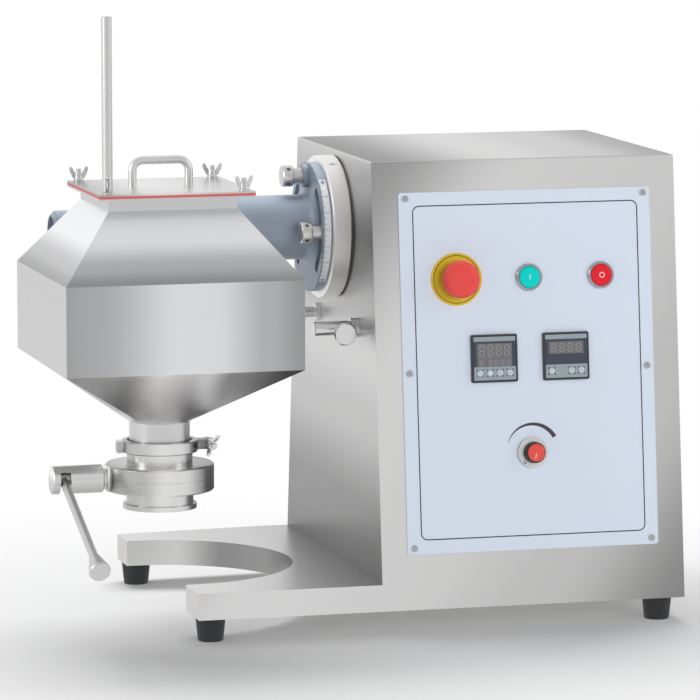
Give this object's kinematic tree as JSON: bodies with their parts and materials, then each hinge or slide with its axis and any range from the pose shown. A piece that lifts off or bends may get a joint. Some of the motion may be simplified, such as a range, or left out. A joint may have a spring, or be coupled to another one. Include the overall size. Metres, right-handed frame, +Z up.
{
  "type": "octagonal blender",
  "caption": "Laboratory octagonal blender: a square-necked turning vessel with an outlet valve, carried by a tilting drive arm on a drive cabinet with a control panel.",
  "frame": {"origin": "on the table, under the middle of the whole machine's bounding box", "axes": "+X from the vessel to the drive cabinet, along the tilting arm; +Y from the control panel to the back; +Z up"},
  "size_m": [0.696, 0.56, 0.6625],
  "materials": {
    "cabinet_steel": "satin",
    "panel_silver": "satin",
    "rubber_black": "matt",
    "gland_black": "matt",
    "screw_steel": "bright",
    "estop_yellow": "satin",
    "estop_body": "satin",
    "estop_red": "glossy",
    "bezel_chrome": "bright",
    "start_teal": "glossy",
    "stop_red": "glossy",
    "meter_dark": "satin",
    "meter_front": "glossy",
    "control_metal": "satin",
    "knob_black": "satin",
    "cap_red": "glossy",
    "disc_steel": "satin",
    "bearing_steel": "bright",
    "bracket_steel": "matt",
    "motor_grey": "satin",
    "arm_cast": "satin",
    "scale_pale": "satin",
    "clamp_steel": "satin",
    "shaft_steel": "ground",
    "wheel_bronze": "machined",
    "vessel_steel": "satin",
    "gasket_red": "matt",
    "seal_white": "matt",
    "wing_steel": "polished",
    "outlet_steel": "polished",
    "lever_knob_grey": "satin",
    "side_lever_steel": "satin"
  },
  "bodies": {
    "cabinet": {"cabinet_shell": "cabinet_steel", "base_plate": "cabinet_steel", "back_cover": "cabinet_steel", "cable_gland": "gland_black", "rubber_feet": "rubber_black", "control_panel": "panel_silver", "cover_screws": "screw_steel", "estop_plate": "estop_yellow", "estop_collar": "estop_body", "push_bezels": "bezel_chrome", "meter_cases": "meter_dark", "meter_faces": "meter_front", "speed_control": "control_metal", "mounting_disc": "disc_steel", "disc_bolts": "screw_steel", "shaft_bearing": "bearing_steel", "motor_bracket": "bracket_steel", "gear_motor": "motor_grey", "lever_bushing": "side_lever_steel", "wall_sensor": "side_lever_steel"},
    "arm": {"arm_casting": "arm_cast", "gearbox_cover": "arm_cast", "gear_bearings": "bearing_steel", "angle_scale": "scale_pale", "scale_screws": "screw_steel"},
    "front_nut": {"clamp_nut_front": "clamp_steel"},
    "rear_nut": {"clamp_nut_rear": "clamp_steel"},
    "top_screw": {"clamp_screw_top": "clamp_steel"},
    "motor_shaft": {"drive_shaft": "shaft_steel"},
    "worm": {"worm_shaft": "shaft_steel"},
    "vessel": {"vessel_shell": "vessel_steel", "carrier_screws": "screw_steel", "output_shaft": "shaft_steel", "worm_wheel": "wheel_bronze", "outlet_seal": "seal_white", "clamp_half_front": "outlet_steel", "clamp_half_rear": "outlet_steel", "clamp_hinge_link": "outlet_steel", "clamp_bolt": "outlet_steel", "valve_body_upper": "outlet_steel", "valve_body_lower": "outlet_steel", "valve_seat": "seal_white", "valve_actuator": "outlet_steel"},
    "lid": {"lid_plate": "vessel_steel", "lid_gasket": "gasket_red"},
    "lid_nut_fl": {"wing_nut_front_left": "wing_steel"},
    "lid_nut_fr": {"wing_nut_front_right": "wing_steel"},
    "lid_nut_rl": {"wing_nut_rear_left": "wing_steel"},
    "lid_nut_rr": {"wing_nut_rear_right": "wing_steel"},
    "key": {"nut_key": "wing_steel"},
    "outlet_nut": {"clamp_wing_nut": "wing_steel"},
    "valve": {"valve_disc": "outlet_steel", "valve_lever": "outlet_steel", "lever_knob": "lever_knob_grey"},
    "side_lever": {"wall_lever": "side_lever_steel"},
    "estop": {"estop_button": "estop_red"},
    "start": {"start_button": "start_teal"},
    "stop": {"stop_button": "stop_red"},
    "dial": {"speed_knob": "knob_black", "speed_cap": "cap_red"}
  },
  "joints": [
    {"name": "arm_tilt", "type": "hinge", "parent": "cabinet", "child": "arm", "pos_m": [0, 0.068, 0.415], "axis": [1, 0, 0], "range_deg": [-45, 45]},
    {"name": "front_nut_turn", "type": "hinge", "parent": "cabinet", "child": "front_nut", "pos_m": [-0.03, 0.0125, 0.415], "axis": [1, 0, 0], "continuous": true},
    {"name": "rear_nut_turn", "type": "hinge", "parent": "cabinet", "child": "rear_nut", "pos_m": [-0.03, 0.1235, 0.415], "axis": [1, 0, 0], "continuous": true},
    {"name": "top_screw_turn", "type": "hinge", "parent": "arm", "child": "top_screw", "pos_m": [-0.04, 0.068, 0.4705], "axis": [1, 0, 0], "continuous": true},
    {"name": "vessel_spin", "type": "hinge", "parent": "arm", "child": "vessel", "pos_m": [-0.223, 0.068, 0.346], "axis": [0, 1, 0], "continuous": true},
    {"name": "worm_turn", "type": "hinge", "parent": "arm", "child": "worm", "pos_m": [-0.223, 0.068, 0.415], "axis": [1, 0, 0], "continuous": true},
    {"name": "motor_shaft_turn", "type": "hinge", "parent": "cabinet", "child": "motor_shaft", "pos_m": [0.03, 0.068, 0.415], "axis": [1, 0, 0], "continuous": true},
    {"name": "lid_lift", "type": "slide", "parent": "vessel", "child": "lid", "axis": [0, 0, 1], "range_m": [0, 0.12]},
    {"name": "lid_nut_fl_turn", "type": "hinge", "parent": "lid", "child": "lid_nut_fl", "pos_m": [-0.2925, -0.169, 0.488], "axis": [0, 0, 1], "continuous": true},
    {"name": "lid_nut_fr_turn", "type": "hinge", "parent": "lid", "child": "lid_nut_fr", "pos_m": [-0.1485, -0.169, 0.488], "axis": [0, 0, 1], "continuous": true},
    {"name": "lid_nut_rl_turn", "type": "hinge", "parent": "lid", "child": "lid_nut_rl", "pos_m": [-0.2925, -0.029, 0.488], "axis": [0, 0, 1], "continuous": true},
    {"name": "lid_nut_rr_turn", "type": "hinge", "parent": "lid", "child": "lid_nut_rr", "pos_m": [-0.1485, -0.029, 0.488], "axis": [0, 0, 1], "continuous": true},
    {"name": "key_lift", "type": "slide", "parent": "lid_nut_fl", "child": "key", "axis": [0, 0, 1], "range_m": [0, 0.2]},
    {"name": "outlet_nut_turn", "type": "hinge", "parent": "vessel", "child": "outlet_nut", "pos_m": [-0.17, -0.115, 0.2085], "axis": [0, 1, 0], "continuous": true},
    {"name": "valve_turn", "type": "hinge", "parent": "vessel", "child": "valve", "pos_m": [-0.3, -0.099, 0.176], "axis": [1, 0, 0], "range_deg": [0, 90]},
    {"name": "side_lever_turn", "type": "hinge", "parent": "cabinet", "child": "side_lever", "pos_m": [-0.01, -0.025, 0.3155], "axis": [1, 0, 0], "range_deg": [0, 90]},
    {"name": "estop_push", "type": "slide", "parent": "cabinet", "child": "estop", "axis": [0, 0.9942, -0.1072], "range_m": [0, 0.004]},
    {"name": "start_push", "type": "slide", "parent": "cabinet", "child": "start", "axis": [0, 0.9942, -0.1072], "range_m": [0, 0.0025], "stiffness_N_per_m": 400, "springref_m": -0.002},
    {"name": "stop_push", "type": "slide", "parent": "cabinet", "child": "stop", "axis": [0, 0.9942, -0.1072], "range_m": [0, 0.0025], "stiffness_N_per_m": 400, "springref_m": -0.002},
    {"name": "dial_turn", "type": "hinge", "parent": "cabinet", "child": "dial", "pos_m": [0.181, -0.12053, 0.18758], "axis": [0, 0.9942, -0.1072], "range_deg": [0, 300]}
  ],
  "couplings": [
    {"joint": "worm_turn", "follows": "vessel_spin", "ratio": 20},
    {"joint": "motor_shaft_turn", "follows": "vessel_spin", "ratio": 20}
  ]
}
